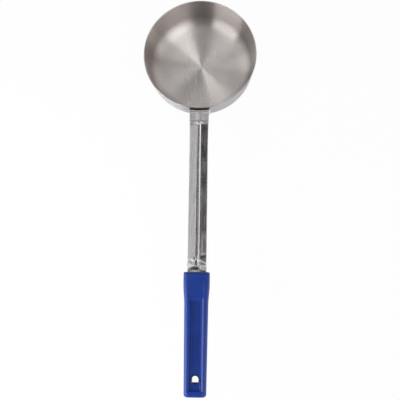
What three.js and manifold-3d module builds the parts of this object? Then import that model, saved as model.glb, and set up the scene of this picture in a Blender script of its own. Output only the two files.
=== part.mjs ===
// A flat-bottomed ladle that portions and spreads sauce: a drawn stainless bowl, a pressed stainless shank
// spot-welded to the bowl's wall, and a plastic grip moulded round the shank's tang.
// Millimetres, +Z up. The origin is the centre of the bowl's flat underside, and the handle runs along -Y.
import * as THREE from "three";
import { mergeVertices } from "three/addons/utils/BufferGeometryUtils.js";
import Module from "manifold-3d";

const { degToRad, lerp, smoothstep } = THREE.MathUtils;

// Clearance that every seat, slot and pocket keeps to the piece in it.
const SEAT_GAP = 0.3;

// Bowl: a drawn pan whose wall leans out towards a plain rim.
const RIM_DIAMETER = 102;
const BOWL_HEIGHT = 35.5;
const BOWL_WALL = 1;
const WALL_DRAFT = degToRad(5);
const BASE_CORNER_RADIUS = 12;

// Shank: the tongue on the wall, the bend at the rim and the rising strip.
const SHANK_THICKNESS = 2;
const TONGUE_WIDTH = 18.6;
const TONGUE_LENGTH = 19.5;
const TONGUE_CORNER_RADIUS = 5;
const BEND_RADIUS = 2;
const BEND_BELOW_RIM = 0.3;
const HANDLE_RISE = degToRad(4);
const STRIP_LENGTH = 142.5;
const STRIP_WIDTH_AT_BOWL = 17;
const STRIP_WIDTH_AT_GRIP = 15.7;
const FLARE_RUN = 40;

// Pressed form of the strip: two sloping sides with a groove between them, flat again at both ends.
const ROOF_DROP = 1.5;
const GROOVE_WIDTH = 3.4;
const GROOVE_DEPTH = 1.2;
const FLAT_AFTER_BEND = 3;
const FORM_RUN_AT_BOWL = 8;
const FORM_RUN_AT_GRIP = 11;
const FLAT_BEFORE_GRIP = 1;

// Tang: the flat end of the shank inside the grip, with holes that the moulding fills.
const SHOULDER_DEPTH = 6;
const SHOULDER_RUN = 2;
const TANG_WIDTH = 11;
const TANG_CORNER_RADIUS = 3;
const TANG_TO_HANG_HOLE = 4;
const KEY_HOLE_DIAMETER = 6;
const KEY_HOLE_COUNT = 2;

// Spot welds between the tongue and the wall.
const WELD_DIAMETER = 5;
const WELD_DEPTH = 0.9;
const WELD_SPACING = 9;
const WELD_BELOW_BEND = 8.5;

// Grip: a collar at the shank, then a slimmer body with a recess between two rails.
const GRIP_LENGTH = 100.4;
const GRIP_TOP = 6.2;
const GRIP_UNDERSIDE = 8;
const GRIP_WIDTH_AT_COLLAR = 20.5;
const GRIP_WIDTH_AT_END = 18.1;
const COLLAR_WIDTH = 21.9;
const COLLAR_UNDERSIDE = 10;
const COLLAR_LENGTH = 27;
const COLLAR_CREST = 9;
const FRONT_BEVEL = 2.5;
const FRONT_CORNER_RADIUS = 1;
const END_BEVEL = 2;
const END_CORNER_RADIUS = 2.4;
const SHOULDER_ROUND_WIDTH = 5.2;
const SHOULDER_ROUND_HEIGHT = 4.4;
const BELLY_ROUND_WIDTH = 6.5;
const BELLY_ROUND_HEIGHT = 5;
const RECESS_START = 21;
const RECESS_WIDTH = 12;
const RECESS_WALL_RUN = 1.8;
const RECESS_FLOOR = 1.6;
const RECESS_RAMP = 5;
const END_BAR = 4.8;
const HANG_HOLE_WIDTH = 5.6;
const HANG_HOLE_LENGTH = 5.8;
const HANG_HOLE_FROM_END = 14.1;

// Fineness of the round stretches.
const BOWL_SEGMENTS = 72;
const CORNER_STEPS = 6;
const TONGUE_STEPS = 4;
const BEND_STEPS = 7;
const TAPER_STEPS = 5;
const FORM_STEPS = 6;
const FACET_STEPS = 3;
const HOLE_SEGMENTS = 24;

// Places that follow from the sizes above.
const rimRadius = RIM_DIAMETER / 2;
const gripFront = STRIP_LENGTH;
const gripEnd = gripFront + GRIP_LENGTH;
const hangHoleAt = gripEnd - HANG_HOLE_FROM_END;
const shoulderAt = gripFront + SHOULDER_DEPTH;
const tangStart = shoulderAt + SHOULDER_RUN;
const tangEnd = hangHoleAt - HANG_HOLE_LENGTH / 2 - TANG_TO_HANG_HOLE;
const tangEndRound = Math.min(TANG_CORNER_RADIUS, TANG_WIDTH / 3);
const tongueEndRound = Math.min(TONGUE_CORNER_RADIUS, TONGUE_WIDTH / 3);
const formedFrom = FLAT_AFTER_BEND + FORM_RUN_AT_BOWL;
const flatAgain = STRIP_LENGTH - FLAT_BEFORE_GRIP;
const formedTo = flatAgain - FORM_RUN_AT_GRIP;
const bendFaceRadius = BEND_RADIUS + SHANK_THICKNESS;
const bendFootHeight = BOWL_HEIGHT - BEND_BELOW_RIM
  - bendFaceRadius * (Math.cos(HANDLE_RISE) - Math.sin(WALL_DRAFT));
const tongueFootHeight = bendFootHeight - TONGUE_LENGTH;
const weldHeight = bendFootHeight - WELD_BELOW_BEND;
const cutMargin = SHANK_THICKNESS;

const wasm = await Module();
wasm.setup();

// Turns a closed geometry into a solid that can be joined and cut.
function toSolid(geometry) {
  const bare = geometry.clone();
  bare.deleteAttribute("normal");
  bare.deleteAttribute("uv");
  const merged = mergeVertices(bare);
  return new wasm.Manifold(new wasm.Mesh({
    numProp: 3,
    vertProperties: new Float32Array(merged.attributes.position.array),
    triVerts: new Uint32Array(merged.index.array),
  }));
}

// Turns a solid back into a geometry.
function toGeometry(solid) {
  const mesh = solid.getMesh();
  const geometry = new THREE.BufferGeometry();
  geometry.setAttribute("position", new THREE.BufferAttribute(mesh.vertProperties, 3));
  geometry.setIndex(new THREE.BufferAttribute(mesh.triVerts, 1));
  geometry.computeVertexNormals();
  return geometry;
}

function makeMesh(name, geometry, material) {
  const mesh = new THREE.Mesh(geometry, material);
  mesh.name = name;
  return mesh;
}

// Joins sections into one closed body. Each section has a flat outline, counter-clockwise, and the frame
// that places it: its x across the piece, its y along the face's normal, its z along the run.
function loft(sections) {
  const count = sections[0].outline.length;
  const positions = [];
  const index = [];
  for (const { outline, frame } of sections) {
    for (const point of outline) {
      positions.push(...new THREE.Vector3(point.x, point.y, 0).applyMatrix4(frame));
    }
  }
  for (let ring = 0; ring < sections.length - 1; ring += 1) {
    for (let i = 0; i < count; i += 1) {
      const here = ring * count + i;
      const next = ring * count + (i + 1) % count;
      index.push(here, next, next + count, here, next + count, here + count);
    }
  }
  const last = (sections.length - 1) * count;
  for (const [a, b, c] of THREE.ShapeUtils.triangulateShape(sections[0].outline, [])) {
    index.push(a, c, b);
  }
  for (const [a, b, c] of THREE.ShapeUtils.triangulateShape(sections.at(-1).outline, [])) {
    index.push(last + a, last + b, last + c);
  }
  const geometry = new THREE.BufferGeometry();
  geometry.setAttribute("position", new THREE.Float32BufferAttribute(positions, 3));
  geometry.setIndex(index);
  geometry.computeVertexNormals();
  return geometry;
}

// How far an edge draws in at a distance from the end that a radius rounds off.
function roundingInset(radius, fromEnd) {
  const left = Math.max(radius - fromEnd, 0);
  return radius - Math.sqrt(radius * radius - left * left);
}

// Distances from an end that spread the steps of its rounding evenly round the quarter circle.
function roundingStops(radius) {
  return Array.from({ length: CORNER_STEPS }, (_, i) => {
    return radius * (1 - Math.cos((i / CORNER_STEPS) * Math.PI / 2));
  });
}

// Radius of the bowl's outer wall at a height, before the base corner.
function wallRadius(height) {
  return rimRadius - (BOWL_HEIGHT - height) * Math.tan(WALL_DRAFT);
}

// Points round one base corner, from the flat floor up to the leaning wall.
function baseCorner(floorHeight, radius, wallFoot) {
  const turn = Math.PI / 2 - WALL_DRAFT;
  const centreX = wallFoot - radius * Math.tan(turn / 2);
  return Array.from({ length: CORNER_STEPS + 1 }, (_, i) => {
    const angle = -Math.PI / 2 + turn * (i / CORNER_STEPS);
    return new THREE.Vector2(
      centreX + radius * Math.cos(angle),
      floorHeight + radius + radius * Math.sin(angle),
    );
  });
}

function makeBowl(material) {
  const wallAcross = BOWL_WALL / Math.cos(WALL_DRAFT);
  const innerFoot = wallRadius(BOWL_WALL) - wallAcross;
  const innerRadius = Math.max(BASE_CORNER_RADIUS - BOWL_WALL, BOWL_WALL / 2);
  const lip = Array.from({ length: CORNER_STEPS + 1 }, (_, i) => {
    const angle = Math.PI * (i / CORNER_STEPS);
    const half = wallAcross / 2;
    return new THREE.Vector2(
      rimRadius - half + half * Math.cos(angle),
      BOWL_HEIGHT - half + half * Math.sin(angle),
    );
  });
  const profile = [
    new THREE.Vector2(0, 0),
    ...baseCorner(0, BASE_CORNER_RADIUS, wallRadius(0)),
    ...lip,
    ...baseCorner(BOWL_WALL, innerRadius, innerFoot).reverse(),
    new THREE.Vector2(0, BOWL_WALL),
  ];
  const geometry = new THREE.LatheGeometry(profile, BOWL_SEGMENTS);
  geometry.rotateX(Math.PI / 2);
  return makeMesh("bowl", geometry, material);
}

// Line of the shank's upper face in the plane of symmetry: up the wall, round the bend, out along the strip.
// Each place has its reach from the bowl's axis, its height and its slope.
function shankLine() {
  const faceOff = SEAT_GAP / Math.cos(WALL_DRAFT);
  const tongueAt = (height) => ({
    reach: wallRadius(height) + faceOff,
    height,
    slope: Math.PI / 2 - WALL_DRAFT,
  });
  const bendFoot = tongueAt(bendFootHeight);
  const centre = {
    reach: bendFoot.reach + bendFaceRadius * Math.cos(WALL_DRAFT),
    height: bendFootHeight - bendFaceRadius * Math.sin(WALL_DRAFT),
  };
  const bendAt = (share) => {
    const slope = lerp(bendFoot.slope, HANDLE_RISE, share);
    return {
      reach: centre.reach - bendFaceRadius * Math.sin(slope),
      height: centre.height + bendFaceRadius * Math.cos(slope),
      slope,
    };
  };
  const bendTop = bendAt(1);
  const stripAt = (along) => ({
    reach: bendTop.reach + along * Math.cos(HANDLE_RISE),
    height: bendTop.height + along * Math.sin(HANDLE_RISE),
    slope: HANDLE_RISE,
  });
  return { tongueAt, bendAt, stripAt };
}

// Frame of one shank section at a place on that line.
function sectionFrame({ reach, height, slope }) {
  const across = new THREE.Vector3(1, 0, 0);
  const normal = new THREE.Vector3(0, Math.sin(slope), Math.cos(slope));
  const run = new THREE.Vector3(0, -Math.cos(slope), Math.sin(slope));
  return new THREE.Matrix4().makeBasis(across, normal, run).setPosition(0, -reach, height);
}

// Outline of one shank section. The roof share sinks the sides and the groove, and the wrap radius, where
// there is one, curves the section round the bowl's wall.
function shankOutline(halfWidth, roofShare, wrapShare, wrapRadius) {
  const grooveHalf = Math.min(GROOVE_WIDTH / 2, halfWidth / 2);
  const face = (x) => {
    const out = Math.abs(x);
    const pressed = out < grooveHalf
      ? -GROOVE_DEPTH * (1 - out / grooveHalf)
      : -ROOF_DROP * (out - grooveHalf) / (halfWidth - grooveHalf);
    const wrapped = wrapRadius - Math.sqrt(wrapRadius * wrapRadius - x * x);
    return roofShare * pressed + wrapShare * wrapped;
  };
  const side = evenSteps(halfWidth, grooveHalf, FACET_STEPS);
  const across = [...side.map((x) => -x), 0, ...side.toReversed()];
  const under = across.map((x) => new THREE.Vector2(x, face(x) - SHANK_THICKNESS));
  const upper = across.toReversed().map((x) => new THREE.Vector2(x, face(x)));
  return [...under, ...upper];
}

// Share of the pressed form at a distance along the strip.
function roofShareAt(along) {
  return smoothstep(along, FLAT_AFTER_BEND, formedFrom) * (1 - smoothstep(along, formedTo, flatAgain));
}

// Half width of the strip and tang at a distance along the strip, which flares towards the bowl.
function stripHalfWidth(along) {
  if (along <= shoulderAt) {
    const left = 1 - Math.min(along / FLARE_RUN, 1);
    return lerp(STRIP_WIDTH_AT_GRIP, STRIP_WIDTH_AT_BOWL, left * left) / 2;
  }
  const intoTang = Math.min((along - shoulderAt) / SHOULDER_RUN, 1);
  const half = lerp(STRIP_WIDTH_AT_GRIP, TANG_WIDTH, intoTang) / 2;
  return half - roundingInset(tangEndRound, tangEnd - along);
}

function evenSteps(from, to, steps) {
  return Array.from({ length: steps + 1 }, (_, i) => lerp(from, to, i / steps));
}

// Places of the tang's holes, spread evenly along it.
function keyHolePlaces() {
  return Array.from({ length: KEY_HOLE_COUNT }, (_, i) => {
    return lerp(tangStart, tangEnd, (i + 1) / (KEY_HOLE_COUNT + 1));
  });
}

function makeShank(material, line) {
  const sections = [];
  const tongueHeights = [
    ...roundingStops(tongueEndRound).map((stop) => tongueFootHeight + stop),
    ...evenSteps(tongueFootHeight + tongueEndRound, bendFootHeight, TONGUE_STEPS).slice(0, -1),
  ];
  for (const height of tongueHeights) {
    const place = line.tongueAt(height);
    const halfWidth = TONGUE_WIDTH / 2 - roundingInset(tongueEndRound, height - tongueFootHeight);
    sections.push({ outline: shankOutline(halfWidth, 0, 1, place.reach), frame: sectionFrame(place) });
  }
  for (const share of evenSteps(0, 1, BEND_STEPS)) {
    const place = line.bendAt(share);
    const eased = smoothstep(share, 0, 1);
    const halfWidth = lerp(TONGUE_WIDTH, STRIP_WIDTH_AT_BOWL, eased) / 2;
    const outline = shankOutline(halfWidth, 0, 1 - eased, place.reach);
    sections.push({ outline, frame: sectionFrame(place) });
  }
  const stripPlaces = [
    ...evenSteps(FLAT_AFTER_BEND, formedFrom, FORM_STEPS),
    ...evenSteps(formedFrom, formedTo, TAPER_STEPS).slice(1, -1),
    ...evenSteps(formedTo, flatAgain, FORM_STEPS),
    gripFront,
    shoulderAt,
    tangStart,
    ...roundingStops(tangEndRound).map((stop) => tangEnd - stop).toReversed(),
  ];
  for (const along of stripPlaces) {
    const place = line.stripAt(along);
    const outline = shankOutline(stripHalfWidth(along), roofShareAt(along), 0, place.reach);
    sections.push({ outline, frame: sectionFrame(place) });
  }
  let solid = toSolid(loft(sections));
  for (const along of keyHolePlaces()) {
    const hole = new THREE.CylinderGeometry(
      KEY_HOLE_DIAMETER / 2, KEY_HOLE_DIAMETER / 2, SHANK_THICKNESS + 2 * cutMargin, HOLE_SEGMENTS,
    );
    hole.rotateX(Math.PI / 2);
    hole.translate(0, -along, -SHANK_THICKNESS / 2);
    hole.applyMatrix4(handleMatrix(line));
    solid = solid.subtract(toSolid(hole));
  }
  for (const side of [-1, 1]) {
    const pocket = new THREE.CylinderGeometry(
      WELD_DIAMETER / 2 + SEAT_GAP, WELD_DIAMETER / 2 + SEAT_GAP, 2 * (WELD_DEPTH + SEAT_GAP), HOLE_SEGMENTS,
    );
    pocket.applyMatrix4(weldMatrix(side, SEAT_GAP));
    solid = solid.subtract(toSolid(pocket));
  }
  return makeMesh("shank", toGeometry(solid), material);
}

// Frame of a spot weld, with its y axis along the wall's outward normal, at a distance off the wall.
function weldMatrix(side, offWall) {
  const reach = wallRadius(weldHeight);
  const turn = side * Math.asin(WELD_SPACING / 2 / reach);
  return new THREE.Matrix4().makeRotationZ(turn)
    .multiply(new THREE.Matrix4().makeTranslation(0, -reach, weldHeight))
    .multiply(new THREE.Matrix4().makeRotationX(Math.PI + WALL_DRAFT))
    .multiply(new THREE.Matrix4().makeTranslation(0, offWall, 0));
}

// Each weld is a flat nugget of fused steel in the tongue's face, seated against the wall.
function makeWeld(name, side, material) {
  const nugget = new THREE.CylinderGeometry(WELD_DIAMETER / 2, WELD_DIAMETER / 2, WELD_DEPTH, HOLE_SEGMENTS);
  nugget.applyMatrix4(weldMatrix(side, SEAT_GAP + WELD_DEPTH / 2));
  return makeMesh(name, nugget, material);
}

// Frame of the handle: its origin is the strip's upper face at the bend, and the strip runs along its -Y.
function handleMatrix(line) {
  const start = line.stripAt(0);
  return new THREE.Matrix4().makeTranslation(0, -start.reach, start.height)
    .multiply(new THREE.Matrix4().makeRotationX(-HANDLE_RISE));
}

// Outline of one grip section, drawn in from its sides and from its top and underside: rounded shoulders
// above, a rounder belly below.
function gripOutline(halfWidth, top, underside, sideInset, faceInset) {
  const corner = (signX, signZ, roundWidth, roundHeight, edge) => {
    const drawnWidth = roundWidth * (1 - sideInset / halfWidth);
    const drawnHeight = roundHeight * (1 - faceInset / edge);
    const from = signX === signZ ? 0 : Math.PI / 2;
    return evenSteps(from, Math.PI / 2 - from, CORNER_STEPS).map((angle) => new THREE.Vector2(
      signX * (halfWidth - sideInset - drawnWidth * (1 - Math.cos(angle))),
      signZ * (edge - faceInset - drawnHeight * (1 - Math.sin(angle))),
    ));
  };
  return [
    ...corner(1, 1, SHOULDER_ROUND_WIDTH, SHOULDER_ROUND_HEIGHT, top),
    ...corner(-1, 1, SHOULDER_ROUND_WIDTH, SHOULDER_ROUND_HEIGHT, top),
    ...corner(-1, -1, BELLY_ROUND_WIDTH, BELLY_ROUND_HEIGHT, underside),
    ...corner(1, -1, BELLY_ROUND_WIDTH, BELLY_ROUND_HEIGHT, underside),
  ];
}

// Frame of one grip section, in the handle's frame, at a distance from the grip's front.
function gripFrame(place) {
  return new THREE.Matrix4().makeBasis(
    new THREE.Vector3(1, 0, 0), new THREE.Vector3(0, 0, 1), new THREE.Vector3(0, -1, 0),
  ).setPosition(0, -gripFront - place, 0);
}

// Outer form of the grip, in the handle's frame.
function gripBody() {
  const frontStops = [FRONT_CORNER_RADIUS, FRONT_BEVEL].flatMap(roundingStops).concat(FRONT_BEVEL);
  const endStops = [END_CORNER_RADIUS, END_BEVEL].flatMap(roundingStops).concat(END_BEVEL, END_CORNER_RADIUS);
  const places = new Set([
    ...frontStops,
    ...evenSteps(COLLAR_CREST, COLLAR_LENGTH, FORM_STEPS),
    ...endStops.map((stop) => GRIP_LENGTH - stop),
  ]);
  const sections = [...places].sort((a, b) => a - b).map((place) => {
    const collar = 1 - smoothstep(place, COLLAR_CREST, COLLAR_LENGTH);
    const bodyWidth = lerp(GRIP_WIDTH_AT_COLLAR, GRIP_WIDTH_AT_END, place / GRIP_LENGTH);
    const fromEnd = GRIP_LENGTH - place;
    const outline = gripOutline(
      lerp(bodyWidth, COLLAR_WIDTH, collar) / 2,
      GRIP_TOP,
      lerp(GRIP_UNDERSIDE, COLLAR_UNDERSIDE, collar),
      roundingInset(FRONT_CORNER_RADIUS, place) + roundingInset(END_CORNER_RADIUS, fromEnd),
      roundingInset(FRONT_BEVEL, place) + roundingInset(END_BEVEL, fromEnd),
    );
    return { outline, frame: gripFrame(place) };
  });
  return toSolid(loft(sections));
}

// A prism on a plan drawn in the handle's frame, between two heights.
function planPrism(shape, low, high) {
  const geometry = new THREE.ExtrudeGeometry(shape, {
    depth: high - low, bevelEnabled: false, curveSegments: CORNER_STEPS * 2,
  });
  geometry.translate(0, 0, low);
  return toSolid(geometry);
}

// The slot that the shank's shoulder and tang fill.
function tangSlot() {
  const mouth = STRIP_WIDTH_AT_GRIP / 2 + SEAT_GAP;
  const narrow = TANG_WIDTH / 2 + SEAT_GAP;
  const right = [
    [mouth, gripFront - cutMargin],
    [mouth, shoulderAt + SEAT_GAP],
    [narrow, tangStart + SEAT_GAP],
    [narrow, tangEnd + SEAT_GAP],
  ];
  const left = right.map(([x, along]) => [-x, along]).toReversed();
  const shape = new THREE.Shape([...right, ...left].map(([x, along]) => new THREE.Vector2(x, -along)));
  return planPrism(shape, -SHANK_THICKNESS - SEAT_GAP, SEAT_GAP);
}

// The long recess between the two rails: leaning side walls, a flat floor and a ramp up to the collar.
function gripRecess() {
  const depth = GRIP_TOP - RECESS_FLOOR;
  const mouth = GRIP_TOP + cutMargin;
  const aboveTop = cutMargin / 2;
  const halfAt = (height) => RECESS_WIDTH / 2 + (height - GRIP_TOP) * RECESS_WALL_RUN / depth;
  const floors = [
    [RECESS_START - aboveTop * RECESS_RAMP / depth, GRIP_TOP + aboveTop],
    [RECESS_START + RECESS_RAMP, RECESS_FLOOR],
    [GRIP_LENGTH - END_BAR, RECESS_FLOOR],
  ];
  return toSolid(loft(floors.map(([place, floor]) => ({
    outline: [
      new THREE.Vector2(-halfAt(floor), floor),
      new THREE.Vector2(halfAt(floor), floor),
      new THREE.Vector2(halfAt(mouth), mouth),
      new THREE.Vector2(-halfAt(mouth), mouth),
    ],
    frame: gripFrame(place),
  }))));
}

// The hang hole: an arch towards the bowl with a straight side towards the grip's end.
function hangHole() {
  const half = HANG_HOLE_WIDTH / 2;
  const archCentre = -hangHoleAt + HANG_HOLE_LENGTH / 2 - half;
  const straightSide = -hangHoleAt - HANG_HOLE_LENGTH / 2;
  const shape = new THREE.Shape();
  shape.moveTo(-half, straightSide);
  shape.lineTo(half, straightSide);
  shape.absarc(0, archCentre, half, 0, Math.PI);
  return planPrism(shape, -COLLAR_UNDERSIDE - GRIP_UNDERSIDE, GRIP_TOP + cutMargin);
}

function makeGrip(material, line) {
  let solid = gripBody().subtract(gripRecess()).subtract(tangSlot()).subtract(hangHole());
  const keyRadius = KEY_HOLE_DIAMETER / 2 - SEAT_GAP;
  const keyRoot = RECESS_FLOOR / 2;
  const keyHeight = SHANK_THICKNESS + 2 * keyRoot;
  for (const along of keyHolePlaces()) {
    const key = new THREE.CylinderGeometry(keyRadius, keyRadius, keyHeight, HOLE_SEGMENTS);
    key.rotateX(Math.PI / 2);
    key.translate(0, -along, -SHANK_THICKNESS / 2);
    solid = solid.add(toSolid(key));
  }
  const mesh = makeMesh("grip", toGeometry(solid), material);
  mesh.applyMatrix4(handleMatrix(line));
  return mesh;
}

function steel(color, roughness) {
  return new THREE.MeshStandardMaterial({ color, roughness, metalness: 1 });
}

const ladle = new THREE.Group();
const line = shankLine();
ladle.add(
  makeBowl(steel(0xb4b2b0, 0.34)),
  makeShank(steel(0xbdbcbb, 0.2), line),
  makeWeld("spot_weld_left", -1, steel(0x8f8d8b, 0.45)),
  makeWeld("spot_weld_right", 1, steel(0x8f8d8b, 0.45)),
  makeGrip(new THREE.MeshStandardMaterial({ color: 0x263f86, roughness: 0.48, metalness: 0 }), line),
);

export default ladle;
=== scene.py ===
"""A flat-bottomed sauce ladle: a turned steel bowl, a pressed steel shank and a moulded blue grip."""
import math

import bmesh
import bpy
from bpy.props import FloatProperty, FloatVectorProperty, IntProperty, PointerProperty
from mathutils import Euler, Matrix, Vector


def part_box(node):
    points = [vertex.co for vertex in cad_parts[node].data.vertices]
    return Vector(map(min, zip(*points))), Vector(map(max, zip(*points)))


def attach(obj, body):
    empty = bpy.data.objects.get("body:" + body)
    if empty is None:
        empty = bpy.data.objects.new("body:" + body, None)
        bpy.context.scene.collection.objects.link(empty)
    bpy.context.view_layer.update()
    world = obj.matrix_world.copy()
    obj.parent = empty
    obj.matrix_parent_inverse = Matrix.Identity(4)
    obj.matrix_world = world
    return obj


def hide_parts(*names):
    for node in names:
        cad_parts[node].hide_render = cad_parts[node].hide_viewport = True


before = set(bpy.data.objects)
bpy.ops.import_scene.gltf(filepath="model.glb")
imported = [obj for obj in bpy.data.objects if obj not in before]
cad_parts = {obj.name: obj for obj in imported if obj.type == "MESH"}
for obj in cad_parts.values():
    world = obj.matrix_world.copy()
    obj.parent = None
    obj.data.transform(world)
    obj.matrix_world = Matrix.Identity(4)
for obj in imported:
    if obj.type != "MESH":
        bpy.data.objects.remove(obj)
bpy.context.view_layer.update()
BOWL_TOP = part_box("bowl")[1]

# Points closer than this are the same, and faces whose normals stand up more than this are level.
SAME_PLACE = 2e-6
LEVEL = 0.9
CORNER_STEPS = 20
LIP_STEPS = 8
BOWL_SIDES = 160
BLANK_COLUMNS = 56
BLANK_ROWS = 300
# Edges that turn by more than this are rounded.
SHARP_EDGE = math.radians(50)
ROUND_SEGMENTS = 2
# The waves before the grip grow over this run, from where the pressed form starts to fade.
RIPPLE_RUN = (-0.002, 0.004)
RIPPLE_SKEW = 0.8
# The painted shadow in the seam at the rim fades over this reach past the rim, and grows over this drop
# under it.
SEAM_SHADOW_REACH = (0.0002, 0.001)
SEAM_SHADOW_DROP = (0.003, 0.0015)
# Outer and inner edge of a weld mark's heat tint and of its dent, as shares of its radius.
TINT_EDGE = (1.9, 0.8)
DENT_EDGE = (1.25, 1.0)
# Part of a noise's range that holds nearly all its values.
NOISE_RANGE = (0.3, 0.7)
TABLE_WIDTH = 12.0
TABLE_DROP = 0.0002
# How much of the table's white is its own glow; the rest takes the ladle's shadow.
TABLE_GLOW = 0.95
TABLE_SIDES = 96
CARD_SIDES = 64
FILM_WIDTH = 36.0

bl_info = {
    "name": "Sauce ladle",
    "version": (1, 0, 0),
    "blender": (4, 5, 0),
    "location": "3D View > Sidebar > Ladle",
    "description": "Models a flat-bottomed sauce ladle and the table that it is shown on",
    "category": "Object",
}


def length(name, description, default):
    """A size in metres that a user may change."""
    return FloatProperty(name=name, description=description, default=default, min=0.0,
                         precision=4, subtype="DISTANCE", unit="LENGTH")


def angle(name, description, degrees):
    """An angle that a user may change."""
    return FloatProperty(name=name, description=description, default=math.radians(degrees),
                         subtype="ANGLE", unit="ROTATION")


def colour(name, description, default):
    """A colour that a user may change."""
    return FloatVectorProperty(name=name, description=description, default=default, size=3,
                               min=0.0, max=1.0, subtype="COLOR")


def point(name, description, default):
    """A place that a user may change."""
    return FloatVectorProperty(name=name, description=description, default=default, size=3,
                               precision=4, subtype="XYZ", unit="LENGTH")


class BowlSettings(bpy.types.PropertyGroup):
    """Sizes and finish of the drawn bowl"""

    rim_radius: length("Rim radius", "Outer radius at the rim", BOWL_TOP.x)
    height: length("Height", "From the underside to the rim", BOWL_TOP.z)
    wall: length("Wall", "Thickness of the sheet", 0.001)
    draft: angle("Draft", "Lean of the wall from upright", 5.0)
    corner: length("Corner", "Outer radius between base and wall", 0.012)
    support: length("Edge support", "Width of the row that keeps each round crisp", 0.0003)
    steel: colour("Floor steel", "Colour of the turned floor", (0.78, 0.74, 0.715))
    # The wall's and the outside's steel are the floor's steel painted darker, as shade for the darker
    # reflections there.
    shaded_wall_steel: colour("Wall steel", "Colour of the drawn wall inside", (0.51, 0.466, 0.448))
    shaded_outer_steel: colour("Outer steel", "Colour of the drawn wall outside", (0.42, 0.42, 0.42))
    ring_pitch: length("Ring pitch", "Distance between the turning marks", 0.0007)
    # The wall's painted shade comes in between these two heights.
    wall_shade_from: length("Wall from", "Height at which the wall's steel begins", 0.0018)
    wall_shade_full: length("Wall full", "Height from which the wall's steel is full", 0.01)
    heat_tint: colour("Heat tint", "Colour of the weld marks inside", (0.34, 0.26, 0.19))
    groove_slope: FloatProperty(name="Groove slope", description="Steepest side of the finest grooves",
                                default=0.8)


class ShankSettings(bpy.types.PropertyGroup):
    """Sizes and finish of the pressed shank"""

    thickness: length("Thickness", "Thickness of the strip", 0.002)
    seat_gap: length("Seat gap", "Distance between tongue and wall", 0.0003)
    tongue_width: length("Tongue width", "Width of the tongue on the wall", 0.0186)
    tongue_length: length("Tongue length", "Height of the tongue under the bend", 0.0195)
    tongue_corner: length("Tongue corner", "Radius of the tongue's lower corners", 0.005)
    bend_radius: length("Bend radius", "Inner radius of the bend at the rim", 0.002)
    below_rim: length("Below rim", "Drop of the strip's start under the rim", 0.0003)
    rise: angle("Rise", "Slope of the handle", 4.0)
    strip_length: length("Strip length", "From the bend to the grip", 0.1425)
    into_grip: length("Into grip", "Length of strip inside the grip's mouth", 0.005)
    width_at_bowl: length("Width at bowl", "Width of the strip at the bend", 0.0174)
    width_at_grip: length("Width at grip", "Width of the strip past its flare", 0.0162)
    flare_run: length("Flare run", "Length over which the strip flares to the bend", 0.04)
    roof_drop: length("Roof drop", "Fall of each sloping side", 0.0015)
    groove_width: length("Groove width", "Width of the middle groove", 0.0029)
    groove_depth: length("Groove depth", "Depth of the middle groove", 0.0012)
    crease: length("Crease", "Softness of the pressed creases", 0.00015)
    flat_at_bowl: length("Flat at bowl", "Flat strip after the bend", 0.0078)
    form_at_bowl: length("Form at bowl", "Run over which the pressed form grows", 0.0037)
    form_at_grip: length("Form at grip", "Run over which the pressed form fades", 0.0125)
    flat_at_grip: length("Flat at grip", "Flat strip before the grip", 0.004)
    ripple: length("Ripple", "Height of the wavy polish before the grip", 0.0002)
    ripple_pitch: length("Ripple pitch", "Length of one wave of that polish", 0.009)
    edge_round: length("Edge round", "Radius of the strip's edges", 0.00035)
    weld_spacing: length("Weld spacing", "Distance between the two weld marks", 0.009)
    weld_below_bend: length("Weld below bend", "Drop of the weld marks under the bend", 0.0085)
    weld_radius: length("Weld radius", "Radius of a weld mark", 0.0025)
    steel: colour("Strip steel", "Colour of the polished strip", (0.64, 0.625, 0.63))
    heat_tint: colour("Heat tint", "Colour of the weld marks outside", (0.34, 0.25, 0.17))
    # Seam: near-black colour painted on the strip as the shadow in the seam at the rim.
    seam: colour("Seam", "Colour in the seam at the rim", (0.03, 0.028, 0.028))


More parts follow.
